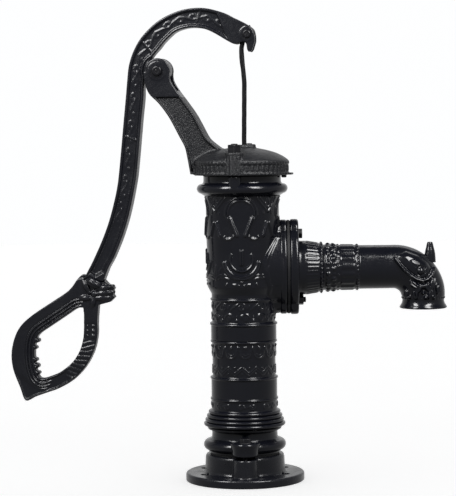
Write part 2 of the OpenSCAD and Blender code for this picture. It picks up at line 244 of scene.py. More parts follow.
def grid_faces(n, m, wrap_n=False, wrap_m=True, flip=False):
    i = np.arange(n if wrap_n else n - 1)
    j = np.arange(m if wrap_m else m - 1)
    I, J = np.meshgrid(i, j, indexing="ij")
    a = I * m + J
    b = I * m + (J + 1) % m
    c = (I + 1) % n * m + (J + 1) % m
    d = (I + 1) % n * m + J
    f = np.stack([a, b, c, d], -1).reshape(-1, 4)
    return f[:, ::-1] if flip else f


def circle(n):
    """n angles round a circle."""
    return np.linspace(0, 2 * pi, n, endpoint=False)


def resample(line, step):
    """Points along a polyline about step apart, its own corners kept."""
    out = [np.array(line[0], float)]
    for a, b in zip(line[:-1], line[1:]):
        a, b = np.array(a, float), np.array(b, float)
        n = max(1, int(math.ceil(np.linalg.norm(b - a) / step)))
        out += [a + (b - a) * k / n for k in range(1, n + 1)]
    return np.array(out)


def arc(cx, cy, r, a0, a1, n=8):
    t = np.radians(np.linspace(a0, a1, n + 1))
    return [(cx + r * math.cos(x), cy + r * math.sin(x)) for x in t]


def bead(R, z, r, n=8):
    return arc(R - r, z, r, -80, 80, n)


def volume(f, lo, hi, vox):
    """Surface of the solid where f < 0; f takes x (a,1,1), y (1,b,1) and z (1,1,c) arrays in mm."""
    lo, hi = np.array(lo, float) - 2 * vox, np.array(hi, float) + 2 * vox
    n = np.ceil((hi - lo) / vox).astype(int) + 1
    x, y, z = (lo[k] + vox * np.arange(n[k]) for k in range(3))
    d = f(x[:, None, None], y[None, :, None], z[None, None, :]) / vox
    g = openvdb.FloatGrid(3.0)
    g.copyFromArray(np.clip(d, -3, 3).astype(np.float32))
    p, q = g.convertToQuads(0.0)
    p = np.asarray(p, float) * vox + lo
    q = np.asarray(q, int)
    c = p[q]
    nrm = np.cross(c[:, 2] - c[:, 0], c[:, 3] - c[:, 1])
    if (np.einsum("ij,ij->i", nrm, c.mean(1) - p.mean(0))).sum() < 0:
        q = q[:, ::-1]
    return p, q


def d_loops(loops, X, Z):
    """Signed distance to the area inside closed outlines (even-odd)."""
    d2 = np.full(X.shape, 1e9)
    inside = np.zeros(X.shape, bool)
    for L in loops:
        for (ax, az), (bx, bz) in zip(L, np.roll(L, -1, 0)):
            dx, dz = bx - ax, bz - az
            t = np.clip(((X - ax) * dx + (Z - az) * dz) / max(dx * dx + dz * dz, 1e-12), 0, 1)
            d2 = np.minimum(d2, (X - ax - t * dx) ** 2 + (Z - az - t * dz) ** 2)
            if dz:
                cross = (az > Z) != (bz > Z)
                inside ^= cross & (X < dx * (Z - az) / dz + ax)
    d = np.sqrt(d2)
    return np.where(inside, -d, d)


def outline(node, y):
    """Closed outlines of a CAD node's flat faces at y in the head's frame, as x-z loops."""
    me = frame["nodes"][node].data
    co = to_head(np.array([v.co for v in me.vertices], float) * 1000)
    key, ids = {}, []
    for c in np.round(co, 2):
        ids.append(key.setdefault(tuple(c), len(key)))
    pts = np.array(list(key))
    edges = {}
    for f in me.polygons:
        v = [ids[i] for i in f.vertices]
        if all(abs(pts[i][1] - y) < 0.02 for i in v):
            for a, b in zip(v, v[1:] + v[:1]):
                if (b, a) in edges:
                    del edges[(b, a)]
                else:
                    edges[(a, b)] = 1
    after = {}
    for a, b in edges:
        after.setdefault(a, []).append(b)
    loops = []
    while after:
        a = next(iter(after))
        L = [a]
        while after.get(L[-1]):
            b = after[L[-1]].pop()
            if not after[L[-1]]:
                del after[L[-1]]
            if b == L[0]:
                break
            L.append(b)
        if len(L) > 2:
            loops.append(pts[L][:, [0, 2]])
    return loops


def rounded(a, b, r):
    """Common part of two distances, with the edge between them rounded by r."""
    a, b = a + r, b + r
    return np.hypot(np.maximum(a, 0), np.maximum(b, 0)) + np.minimum(np.maximum(a, b), 0) - r


def plate(d2, half, y, r):
    """Extrusion of a 2-D distance to +-half about y = 0, edges rounded by r."""
    return rounded(d2, np.abs(y) - half, r)


# relief drawn on a flat (u, v) area
def over(*layers):
    """The highest of several reliefs, or the common part of several distances."""
    return functools.reduce(np.maximum, layers)


def hump(t):
    return np.clip(1 - t * t, 0, 1)


def line(U, V, p, q, w, h):
    dx, dy = q[0] - p[0], q[1] - p[1]
    t = np.clip(((U - p[0]) * dx + (V - p[1]) * dy) / (dx * dx + dy * dy), 0, 1)
    return h * hump(np.hypot(U - p[0] - t * dx, V - p[1] - t * dy) / w)


def ring(U, V, c, r, w, h, a0=0, a1=360):
    x, y = U - c[0], V - c[1]
    d = np.abs(np.hypot(x, y) - r)
    if a1 - a0 < 360:
        ang = (np.degrees(np.arctan2(y, x)) - a0) % 360
        out = ang > (a1 - a0)
        ends = [np.hypot(x - r * math.cos(math.radians(a)), y - r * math.sin(math.radians(a))) for a in (a0, a1)]
        d = np.where(out, np.minimum(*ends), d)
    return h * hump(d / w)


def dot(U, V, c, r, h):
    return h * hump(np.hypot(U - c[0], V - c[1]) / r)


def leaf(U, V, c, ang, length, w, h):
    """Pointed leaf with a groove down its middle."""
    ca, sa = math.cos(math.radians(ang)), math.sin(math.radians(ang))
    x, y = (U - c[0]) * ca + (V - c[1]) * sa, -(U - c[0]) * sa + (V - c[1]) * ca
    t = np.clip(x / length, 0, 1)
    half = w * np.sin(pi * t ** 0.8) + 1e-6
    k = np.abs(y) / half
    body = np.where((x > 0) & (x < length) & (k < 1), hump(k), 0)
    return h * body * (1 - 0.45 * np.exp(-(y / (0.22 * w)) ** 2))


def spiral(U, V, c, r0, r1, turns, a0, w, h, flip=1):
    out = np.zeros_like(U)
    n = int(10 * turns)
    prev = None
    for i in range(n + 1):
        t = i / n
        a = math.radians(a0 + flip * 360 * turns * t)
        r = r0 + (r1 - r0) * t
        q = (c[0] + r * math.cos(a), c[1] + r * math.sin(a))
        if prev:
            out = np.maximum(out, line(U, V, prev, q, w * (1 - 0.3 * t), h))
        prev = q
    return out


def cell(U, period, at=0.0):
    return (U - at + period / 2) % period - period / 2


# ---- barrel
body_lo, body_hi = mm_box("cylinder_body")
spout_hi = mm_box("spout")[1]
gasket_lo, gasket_hi = mm_box("spout_gasket")
BZ = body_lo[2]  # underside of the barrel
TOPZ = body_hi[2]
FLANGE_Z = (gasket_lo[2] + gasket_hi[2]) / 2
SPOUT_Z = FLANGE_Z - 1.5
FACE_X = gasket_lo[0]  # face of the branch
WAIST_R, CHAMBER_R, BORE_R = 43.3, 49.4, 37.5
WAIST_DEPTH = 0.8  # the lower ornament is worn flatter than it is drawn
CHAMBER_FOOT, COLLAR_FOOT = 268, 391  # heights where the chamber begins and its collar begins
EAR_R, LENS_H = 17, 52  # the flange's ears and the half height of its middle


def waist_relief(U, z):
    """Ornament of the lower barrel; U runs round the barrel in mm at the waist's radius."""
    P = 2 * pi * WAIST_R
    h = np.zeros_like(U)
    u = cell(U, P / 8, 3)  # running scroll over the foot rings
    v = z - 105.4
    for s in (-1, 1):
        h = over(h, spiral(u * s, v * s, (7.6, 0.4), 4.2, 0.6, 1.4, 180, 1.3, 1.5))
    h = over(h, line(u, v, (-4, -1.6), (4, 1.6), 1.2, 1.3))
    u = cell(U, P / 14, 6.4)  # double-lined festoons
    w = np.abs(u)
    for k in (0, 1):
        h = over(h, line(w, z, (0, 151.4 - 3.6 * k), (9.7, 159.8 - 3.6 * k), 1.15, 1.35))
    h = over(h, dot(u, z, (0, 158.6), 1.9, 1.5), dot(cell(u, P / 14, P / 28), z, (0, 150.6), 1.7, 1.4))
    u = cell(U, P / 14, 1.5)  # swags hung under the bead row
    h = over(h, ring(u, z, (0, 178.6), 6.9, 1.3, 1.5, 190, 350),
             ring(u, z, (0, 178.6), 3.6, 1.1, 1.2, 200, 340), dot(cell(U, P / 28, 1.5), z, (0, 186), 2.7, 2.0),
             leaf(np.abs(cell(U, P / 14, 1.5 + P / 28)), z, (0.2, 184.6), -62, 9.5, 1.9, 1.3))
    u = cell(U, P / 12, 2)  # shells and dots above the plain band
    h = over(h, ring(u, z, (0, 225), 6.4, 1.6, 1.7, 20, 160))
    for a in (-36, -12, 12, 36):
        t = math.radians(90 + a)
        tip = (6 * math.cos(t), 222 + 6.4 * math.sin(t))
        h = over(h, line(u, z, (1.5 * math.cos(t), 222.6), tip, 1.2, 1.3))
    u2 = cell(U, P / 12, 2 + P / 24)
    h = over(h, leaf(np.abs(u2), z, (0.4, 229.6), -140, -7.5, 2.0, 1.3), dot(u2, z, (0, 223.4), 2.5, 1.7),
             dot(u2, z, (0, 228.6), 1.6, 1.2))
    v = z - 241.6  # wave scroll under the chamber
    u = cell(U, P / 10, -5)
    h = over(h, spiral(u, v, (1.5, -0.6), 6.6, 1.0, 1.6, 150, 1.35, 1.5, -1),
             line(u, v, (-13.6, -4.6), (-4.2, 2.9), 1.35, 1.4), leaf(u, v, (8.4, -3.4), 50, 8, 2.2, 1.3))
    band = ((z > 99) & (z < 110.8)) | ((z > 145.6) & (z < 190)) | ((z > 220) & (z < 249))
    return np.where(band, WAIST_DEPTH * h, 0)


def chamber_relief(U, z):
    """Horseshoe lattice, crescent medallion and swags of the water chamber, four times round."""
    P = 2 * pi * CHAMBER_R
    u = cell(U, P / 4, -2.4)
    w = np.abs(u)
    h = np.zeros_like(U)
    for r in (22.0, 18.2):
        h = over(h, ring(u, z, (0, 367.6), r, 1.5, 1.9, -4, 184))
    h = over(h, line(w, z, (21.9, 366.2), (17.4, 358.6), 1.3, 1.3),
             line(w, z, (15.0, 361.8), (5.6, 338.6), 2.7, 2.8),
             line(w, z, (36.6, 356), (30.6, 338.2), 2.6, 3.1),
             line(w, z, (22, 389), (P / 8 - 1, 370.5), 1.7, 1.8),
             line(w, z, (27, 389), (P / 8 - 1, 376), 1.3, 1.2),
             line(w, z, (P / 8 - 1, 388), (31.5, 368), 1.4, 1.1),
             ring(w, z, (17.2, 340.8), 7.4, 1.6, 1.8, 205, 330), leaf(w, z, (11.6, 333.4), 12, 9, 2.0, 1.6),
             line(w, z, (1.2, 318), (1.2, 299), 1.5, 2.6), ring(u, z, (0, 305.6), 15.6, 1.8, 2.2, 152, 388),
             ring(u, z, (0, 305.6), 12.4, 0.9, 1.1, 160, 380))
    for r, t in ((23.0, 1.4), (26.2, 1.7)):
        h = over(h, ring(u, z, (0, 305.6), r, t + 0.3, 2.2, 188, 352))
    for k in (0, 1):
        h = over(h, ring(w, z, (26, 262.6), 22.6 - 3.6 * k, 1.3, 1.5, 62, 122))
    h = over(h, leaf(w, z, (2, 270.8), 8, 12, 2.3, 1.7), dot(w, z, (21, 272.4), 2.4, 1.8),
             dot(u, z, (0, 275.4), 2.2, 1.5), leaf(cell(U, P / 4, -2.4 + P / 8), z, (0, 276), 90, 26, 4.6, 1.6))
    for s in (-1, 1):
        h = over(h, leaf(s * cell(U, P / 4, -2.4 + P / 8), z, (1.5, 281), 62, 17, 3.0, 1.4))
    return np.where((z > CHAMBER_FOOT - 2) & (z < COLLAR_FOOT), h, 0)


OVAL_H, OVAL_W = (gasket_hi[2] - gasket_lo[2]) / 2, (gasket_hi[1] - gasket_lo[1]) / 2


def lens_radius(W):
    """Radius of the arcs that make the middle of a two-bolt oval of half width W."""
    d = W - 15
    return (LENS_H * LENS_H + d * d) / (2 * d)


def oval_half(dz):
    """Half width of the flange's two-bolt oval at height dz from its centre."""
    R = lens_radius(OVAL_W)
    lens = np.sqrt(np.maximum(R * R - dz * dz, 0)) - (R - OVAL_W)
    ear = np.sqrt(np.maximum(EAR_R ** 2 - (np.abs(dz) - (OVAL_H - EAR_R)) ** 2, 0))
    return np.where(np.abs(dz) < 50, np.maximum(lens, np.where(np.abs(dz) > OVAL_H - 2 * EAR_R, ear, 0)), ear)


def branch_r(th, z, shrink=2.6):
    """How far out the branch reaches, seen from the barrel's axis."""
    dz = np.abs(z - FLANGE_Z)
    w = np.maximum(oval_half(np.minimum(dz + 0.6 * shrink, 64)) - shrink, 0)
    w = w + 5.0 * np.clip((52 - np.abs(WAIST_R * np.cos(th))) / 26, 0, 1)
    w = np.where(dz > 62.5, 0, w)
    c, s = np.cos(th), np.abs(np.sin(th)) + 1e-6
    return np.where(c > 0.2, np.minimum((FACE_X - 4) / np.maximum(c, 0.2), w / s), 0)


profile_low = ([(BORE_R, BZ), (49.2, BZ), (49.2, 42)] + arc(49.4, 49.8, 7.2, -82, 84, 16) +
               [(45.9, 59), (45.2, 62), (45, 66), (45.2, 69)] + bead(51, 73, 2.2) + bead(56.2, 78.5, 2.6) +
               bead(54.2, 84, 2.4) + bead(52.1, 89.5, 2.4) + bead(49.6, 95, 2.4) +
               [(45.2, 98.6), (45.2, 110.4), (45.9, 111.6)] + bead(46.6, 113.4, 1.7) +
               [(45.2, 116), (45.2, 139.4)] + bead(46.6, 142.2, 1.7) +
               [(43.9, 144.4), (43.3, 145.6), (43.3, 172.4), (43.5, 174), (43.8, 189.4)] + bead(45.8, 192.4, 2.0) +
               [(44.9, 195), (44.9, 213.2)] + bead(46.4, 216.2, 2.2) +
               [(43.3, 219.4), (43.2, 247.2)] + bead(45.4, 250, 2.1) +
               [(43.5, 252.6), (43.5, 257), (44.1, 258.6), (48.2, 266), (48.9, 268.6), (49, 272)])
profile_top = ([(49, 268), (49, 314), (49.5, 326), (50, 338), (50, 388.4), (50.8, 390.8)] +
               arc(55.5, 401, 6.6, -78, 86, 16) +
               [(54.4, 408.2), (53.4, 409.4), (53, 411.4), (53, TOPZ), (43, TOPZ)])


def turned(profile, inner, relief, R, n, step):
    pr = resample(profile, step)
    th = circle(n)
    r, z = pr[:, :1] + 0 * th, pr[:, 1:] + 0 * th
    U = R * ((th + pi / 2 + pi) % (2 * pi) - pi)[None, :] + 0 * z  # 0 faces -Y
    h = relief(U, z)
    r = r + np.where(pr[:, :1] > BORE_R + 4, h, 0)
    b = branch_r(th[None, :] + 0 * z, z)
    k = 2.6  # soft fillet where the branch leaves
    mix = np.clip(0.5 + 0.5 * (b - r) / k, 0, 1)
    blend = b * mix + r * (1 - mix) + k * mix * (1 - mix)
    near = (b > r - k) & (z > BZ + 60) & (z < 392)
    seam = 1.7 * hump((b - r - 1.2) / 2.4) * (z < 372)
    r = np.where(near, np.maximum(blend, r) + seam, r)
    ip = np.array(inner, float)
    r = np.concatenate([r, ip[:, :1] + 0 * th])
    z = np.concatenate([z, ip[:, 1:] + 0 * th])
    p = np.stack([r * np.cos(th), r * np.sin(th), z], -1)
    return p.reshape(-1, 3), grid_faces(len(r), n)


barrel = turned(profile_low, [(43, 272), (43, 269), (BORE_R, 262.6), (BORE_R, 150), (BORE_R, BZ)],
                waist_relief, WAIST_R, 352, 0.95)
chamber = turned(profile_top, [(43, TOPZ), (43, 330), (43, 268), (49, 268)], chamber_relief, CHAMBER_R, 372, 0.8)
casting("barrel_lower", barrel, smooth=80, soften=2)
casting("water_chamber", chamber, smooth=80, soften=2)


def lug(x, y, z):
    """Rounded lugs front and back of the barrel's foot bead."""
    reach = 17.5 + 3.0 * np.clip((z - 45) / 12, 0, 1) ** 1.5
    d = rounded(np.hypot(x, np.abs(y) - 54.5) - reach, np.abs(z - 49.9) - 9.6, 3.2)
    core = 41 - np.hypot(x, y)
    hole = 4.3 - np.hypot(x, np.abs(y) - 62)
    return over(d, core, hole)


casting("barrel_lugs", volume(lug, (-22, -76, 40), (22, 76, 60), 0.9))
sx, sy = from_head([0, 54.0, 0])[:2]


def stud_boss(x, y, z):
    d = np.minimum(np.hypot(x - sx, y - sy), np.hypot(x + sx, y + sy)) - 8.6
    return over(d, np.abs(z - 409) - 8.9, 48 - np.hypot(x, y))


casting("stud_bosses", volume(stud_boss, (-22, -63, 400), (22, 63, 418), 0.8), smooth=50)


def oval_plate(x0, x1, grow, r, bore, hole):
    """Two-bolt oval flange from x0 to x1, as a distance and the box it lies in."""
    xm, xh = (x0 + x1) / 2, (x1 - x0) / 2

    def f(x, y, z):
        dz = z - FLANGE_Z
        W, H = OVAL_W + grow, OVAL_H + grow
        R = lens_radius(W)
        lens = np.maximum(np.hypot(np.abs(y) + R - W, dz) - R, np.abs(dz) - LENS_H)
        ear = np.hypot(y, np.abs(dz) - (H - EAR_R)) - EAR_R
        d2 = np.minimum(lens, ear)
        d2 = np.maximum(d2, bore - np.hypot(y, z - SPOUT_Z))
        for hz in bolt_zs:
            d2 = np.maximum(d2, hole - np.hypot(y, z - hz))
        return plate(d2, xh, x - xm, r)
    return f, (x0, -41, FLANGE_Z - 66.5), (x1, 41, FLANGE_Z + 66.5)


stud_lo, stud_hi = mm_box("spout_stud")
bolt_lo, bolt_hi = mm_box("spout_bolt")
bolt_zs = ((stud_lo[2] + stud_hi[2]) / 2, (bolt_lo[2] + bolt_hi[2]) / 2)
casting("branch_flange", volume(*oval_plate(FACE_X - 9.4, FACE_X, 0.2, 2.6, 25, 4), 0.72))
gasket = oval_plate(FACE_X, gasket_hi[0], -0.3, 0.6, 26, 4.4)
build("flange_gasket", [volume(*gasket, 0.6)], RUBBER, "stand", ["spout_gasket"], smooth=50)

# ---- spout
SX0 = gasket_hi[0]
mouth = next(m for m in frame["record"]["mounts"] if m["name"] == "spout_mouth")
mouth_lo = mouth["pos_m"][2] * 1000 - mouth["dims"]["length_mm"] / 2
BEND_R = 40.0
BEND_X = spout_hi[0] - 32.4 - BEND_R


def spout_radius(s):
    """Outside radius of the spout along its centre line, measured in x until the bend."""
    pts = [(SX0 + 2, 37.3), (SX0 + 12.4, 37.2), (SX0 + 15.4, 36.7), (84, 36.4), (103.8, 33.2), (104.6, 32.4),
           (105.2, 33.4), (107, 34.3), (108.9, 33.2), (110, 30.7), (112.6, 30.9), (113.4, 31.5), (126.8, 31.3),
           (127.6, 30.6), (131, 30.2), (153.4, 29.9), (154.2, 30.6), (156, 30.9), (157.6, 30.2), (158.4, 29.5),
           (204, 29.3), (BEND_X + 20, 29.9), (BEND_X + 55, 29.7), (BEND_X + 62.8, 29.2), (END_S - 13, 28.2),
           (END_S - 10, 28.1), (END_S - 7, 28.9), (END_S - 4.6, 30.2), (END_S - 3, 31.4), (END_S - 1.8, 32.0),
           (END_S - 0.7, 32.0), (END_S, 31.3)]
    return np.interp(s, *np.array(pts).T) + 0.5 * np.clip((s - 78) / 6, 0, 1)


DROP = SPOUT_Z - BEND_R - mouth_lo  # straight fall below the bend
END_S = BEND_X + BEND_R * pi / 2 + DROP


def spine(s):
    """Centre point, forward direction and outward side (top of the pipe) at s."""
    a = np.clip((s - BEND_X) / BEND_R, 0, pi / 2)
    x = np.where(s < BEND_X, s, BEND_X + BEND_R * np.sin(a))
    z = np.where(s < BEND_X, SPOUT_Z, SPOUT_Z - BEND_R + BEND_R * np.cos(a))
    z = z - np.maximum(0, s - BEND_X - BEND_R * pi / 2)
    return x, z, np.sin(a), np.cos(a)


def spout_relief(s, ph, x, z):
    """ph is 0 at the top of the pipe and 90 degrees at the front."""
    c = cell(ph, 2 * pi / 42) * 34  # 42 flutes, across them in mm
    inside = np.clip((s - 85.6) / 1.5, 0, 1) * np.clip((103 - s) / 1.5, 0, 1)
    h = inside * (1.1 * hump(c / 1.9) - 0.5)
    h = over(h, dot(cell(ph, 2 * pi / 36) * 34, s - 107, (0, 0), 2.3, 1.0))
    u = cell(ph, 2 * pi / 14) * 31.3
    for q, r in (((0, 116), 3.5), ((7, 123.2), 3.5), ((-7, 123.2), 3.5), ((0, 124.2), 1.9), ((7, 114.8), 1.9),
                 ((-7, 114.8), 1.9)):
        h = over(h, dot(u, s, q, r, 2.0 if r > 2 else 0.9))
    c = cell(ph, 2 * pi / 17) * 30.2
    inside = np.clip((s - 132.6) / 1.5, 0, 1) * np.clip((152 - s) / 1.5, 0, 1)
    h = over(h, inside * np.clip(1.25 - np.abs(c) / 3.2, 0, 1) ** 0.6,
             dot(cell(ph, 2 * pi / 17) * 30.4, s - 129.6, (0, 0), 1.9, 1.2),
             dot(cell(ph, 2 * pi / 34) * 30.8, s - 156, (0, 0), 1.8, 0.9))
    side = np.abs(np.sin(ph))  # relief on the two cheeks of the bend
    k = np.clip((side - 0.25) / 0.3, 0, 1)
    shield = [(206.6, 303), (211, 297), (218, 289.4), (227, 281.6), (236, 275.8), (243, 273.6), (249.6, 275.6),
              (255, 281), (258.4, 289)]
    poly = np.array([(205, 310)] + shield + [(252, 300), (238, 310), (222, 316)], float)
    inside = -d_loops([poly], x, z)
    e = 4.2 * np.clip((inside - 2.4) / 8, 0, 1) ** 0.6
    for p, q in zip(shield[:-1], shield[1:]):
        e = over(e, line(x, z, p, q, 2.8, 4.4))
    e = e + dot(x, z, (240, 286.6), 4.2, 1.6) + leaf(x, z, (226, 300), -26, 17, 3.6, 1.2)
    e = e - 1.4 * ring(x, z, (240, 286.6), 5.4, 1.3, 1.0)
    for cx, cz, aa, ll, ww in ((226, 274, -40, 18, 4.2), (240.5, 270, -112, 16, 4.4), (247, 271, -66, 15, 4.0),
                               (258, 279, -100, 20, 4.0), (233, 262, -80, 15, 3.4), (255, 262, -108, 14, 3.2),
                               (222, 262, -84, 14, 3.0), (264, 270, -94, 17, 3.0)):
        e = over(e, leaf(x, z, (cx, cz), aa, ll, ww * 1.2, 5.0))
    for q, r in (((243.6, 266.4), 3.2), ((234.6, 250.6), 2.6), ((247.4, 250.8), 2.8), ((258, 250.4), 2.4),
                 ((226, 250.8), 2.4), ((244, 257), 2.2)):
        e = over(e, dot(x, z, q, r * 1.2, 3.6))
    return over(h, 1.15 * e * k, dot(cell(ph, 2 * pi / 40) * 30, s - (END_S - 14.4), (0, 0), 1.7, 1.0))


def spout_tube():
    s0 = np.concatenate([np.arange(SX0 + 2, 160, 0.8), np.arange(160, 200, 2.2), np.arange(200, END_S - 0.4, 0.8),
                         [END_S]])
    n = 300
    ph = circle(n)
    S, PH = np.meshgrid(s0, ph, indexing="ij")
    cx, cz, fx, up = spine(S)
    R = spout_radius(S)
    X = cx + R * np.cos(PH) * fx
    Z = cz + R * np.cos(PH) * up
    R = R + spout_relief(S, PH, X, Z)
    out = np.stack([cx + R * np.cos(PH) * fx, -R * np.sin(PH), cz + R * np.cos(PH) * up], -1)
    s1 = np.concatenate([[END_S], np.linspace(END_S - 1.5, BEND_X, 26), [SX0]])
    S, PH = np.meshgrid(s1, ph, indexing="ij")
    cx, cz, fx, up = spine(S)
    R = np.where(S > END_S - 0.5, 26.2, 25.0)
    inn = np.stack([cx + R * np.cos(PH) * fx, -R * np.sin(PH), cz + R * np.cos(PH) * up], -1)
    p = np.concatenate([out, inn, out[:1]])
    return p.reshape(-1, 3), grid_faces(len(p), n, flip=True)


casting("spout_pipe", spout_tube(), "spout", smooth=80, soften=1)
casting("spout_flange", volume(*oval_plate(SX0, SX0 + 12, 0.8, 3.2, 25, 4.2), 0.75), "spout")


def revolve(profile, n, centre=(0, 0), step=0.8):
    pr = resample(profile, step)
    th = circle(n)
    p = np.stack([centre[0] + pr[:, :1] * np.cos(th), centre[1] + pr[:, :1] * np.sin(th), pr[:, 1:] + 0 * th], -1)
    return p.reshape(-1, 3), grid_faces(len(pr), n)


horn_x = BEND_X + BEND_R + 9.6
horn = [(0.01, 297), (8.0, 297), (7.7, 303), (7.2, 309), (6.4, 313.4), (5.2, 318), (4.4, 321.6), (4.0, 323.4),
        (3.2, 324.7), (1.6, 325), (0.01, 325)]
casting("bucket_horn", revolve(horn, 48, (horn_x, 0)), "spout", smooth=50)


# ---- solids from distances
def seg(x, y, z, p, q):
    """Distance from the axis p-q and the fraction along it."""
    p, q = np.array(p, float), np.array(q, float)
    d = q - p
    t = np.clip(((x - p[0]) * d[0] + (y - p[1]) * d[1] + (z - p[2]) * d[2]) / (d @ d), 0, 1)
    return np.sqrt((x - p[0] - t * d[0]) ** 2 + (y - p[1] - t * d[1]) ** 2 + (z - p[2] - t * d[2]) ** 2), t


def disc(x, y, z, p, axis, r, half, edge=0.8):
    """Rounded cylinder centred on p."""
    a = np.array(axis, float) / np.linalg.norm(axis)
    h = (x - p[0]) * a[0] + (y - p[1]) * a[1] + (z - p[2]) * a[2]
    rr = np.sqrt(np.maximum((x - p[0]) ** 2 + (y - p[1]) ** 2 + (z - p[2]) ** 2 - h * h, 0))
    return rounded(rr - r, np.abs(h) - half, edge)


def plane(x, z):
    """The x-z plane of a volume's grid."""
    return x[:, 0, :] + 0 * z[0], z[0] + 0 * x[:, 0, :]


def blend(a, b, k):
    """Smooth union with a fillet of about k."""
    h = np.clip(0.5 + 0.5 * (b - a) / k, 0, 1)
    return b * (1 - h) + a * h - k * h * (1 - h)


def along(line_pts, X, Z):
    """Arc length and signed offset of (X, Z) from a centre line."""
    L = np.array(line_pts, float)
    best = np.full(X.shape, 1e9)
    s, v, run = np.zeros(X.shape), np.zeros(X.shape), 0.0
    for a, b in zip(L[:-1], L[1:]):
        d = b - a
        n = np.hypot(*d)
        t = np.clip(((X - a[0]) * d[0] + (Z - a[1]) * d[1]) / (n * n), 0, 1)
        ex, ez = X - a[0] - t * d[0], Z - a[1] - t * d[1]
        e = np.hypot(ex, ez)
        m = e < best
        best = np.where(m, e, best)
        s = np.where(m, run + t * n, s)
        v = np.where(m, np.sign(d[0] * ez - d[1] * ex) * e, v)
        run += n
    return s, v


def spread(fn, R, z):
    """Evaluate a 2-D (radius, z) function over a 3-D grid by its table."""
    zz = z.ravel()
    rr = np.arange(0, R.max() + 1.5, 0.4)
    T = fn(rr[:, None] + 0 * zz[None, :], zz[None, :] + 0 * rr[:, None])
    k = R[:, :, 0] / 0.4
    i = np.minimum(k.astype(int), len(rr) - 2)
    f = (k - i)[..., None]
    return T[i] * (1 - f) + T[i + 1] * f


# ---- lever
HALF_T, LOOP_T = 9.0, 8.0  # half thickness of the bar and of the loop
KNOT = (-209, 0, 271)
PIN_HOLE, ROD_PIN_HOLE, STUD_HOLE = 5.05, 4.05, 5.3
bar_loops = outline("lever", -HALF_T)
grip_loops = outline("lever", -LOOP_T)
bar_loops.sort(key=lambda l: -np.ptp(l[:, 1]))
grip_loops.sort(key=lambda l: -np.ptp(l[:, 1]))
fx, fz = fulcrum[0], fulcrum[2]
ex, ez = rod_eye[0], rod_eye[2]
centre = [(-14, 618), (-30, 627), (-45, 633), (-60.5, 635), (-77.6, 633.5), (-94.6, 628), (-107.6, 619.6),
          (-118.9, 609.4), (-127.2, 599.4), (-136.7, 585.5), (-144, 568.5), (-147, 549), (-148.8, 525.5),
          (-152.3, 495), (-159, 429.5), (-162.8, 404.8), (-168, 380), (-175, 355.5), (-184, 330.8), (-195, 306),
          (-203, 291.5), (-210, 277)]
run_out = float(np.hypot(*np.diff(np.array(centre), axis=0).T).sum())


def lever_bar(x, y, z):
    X, Z = plane(x, z)
    d = d_loops(bar_loops[:1], X, Z)
    s, v = along(centre, X, Z)
    boss = np.hypot(X - fx, Z - fz)
    end = (X + 26) + 0.42 * (Z - 627)  # slanting step before the fork end
    low = (11.8 * (Z - 281.6) - 6.6 * (X + 202.6)) / 13.5  # slanting step above the knot
    web = np.minimum.reduce([-d - 3.6, boss - 24.5, -end, low])
    depth = 2.3 * np.clip(web / 1.5, 0, 1)
    o = np.zeros_like(X)
    for k in (0, 1):  # vine with leaves, dots and cross bars
        u = cell(s, 38, 19 * k + 6)
        g = 1 - 2 * k
        o = over(o, line(u, v * g, (-9.5, -3.2), (9.5, 3.2), 2.0, 1.3),
                 leaf(u, v * g, (-4, -1.6), 116, 7.6, 3.0, 1.3), leaf(u, v * g, (4, 1.6), -62, 7.6, 3.0, 1.3),
                 dot(u, v * g, (9.2, -3.6), 2.2, 1.2))
    o = o * np.clip((run_out - 78 - s) / 14, 0, 1)
    o = over(o, 1.7 * hump(web - 2.9) * np.clip((s - run_out + 150) / 30, 0, 1) * (d < -6))
    for at in (47, 133, 262):
        o = over(o, 2.3 * hump((s - at - 0.25 * v) / 1.7))
    web2 = np.clip((web - 0.2) / 1.2, 0, 1)
    half = HALF_T - depth + np.minimum(0.62 * o, 1.7) * web2
    rim = hump((web + 1.9) / 1.7) * 0.55  # small roll along the edge of the panel
    half = half + rim - 0.55
    half = half - 1.2 * hump((boss - 20.6) / 1.2) * (d < -2)
    half = half + 0.8 * np.clip(10.8 - np.hypot(X - ex, Z - ez), 0, 1)
    half = np.minimum(half, HALF_T)[:, None, :]
    r = rounded(d[:, None, :], np.abs(y) - half, 1.3)
    for cx, cz, cr in ((fx, fz, PIN_HOLE), (ex, ez, ROD_PIN_HOLE)):
        r = np.maximum(r, cr - np.hypot(x - cx, z - cz))
    slot = over(np.abs(y) - 4.2, -7.6 - x, 570 - z)
    return np.maximum(r, -slot)


loop_right = [(-205, 236), (-215.6, 219), (-216, 198), (-221, 177), (-232.5, 158.5), (-251, 142), (-268, 132.6),
              (-290, 126), (-309, 112)]


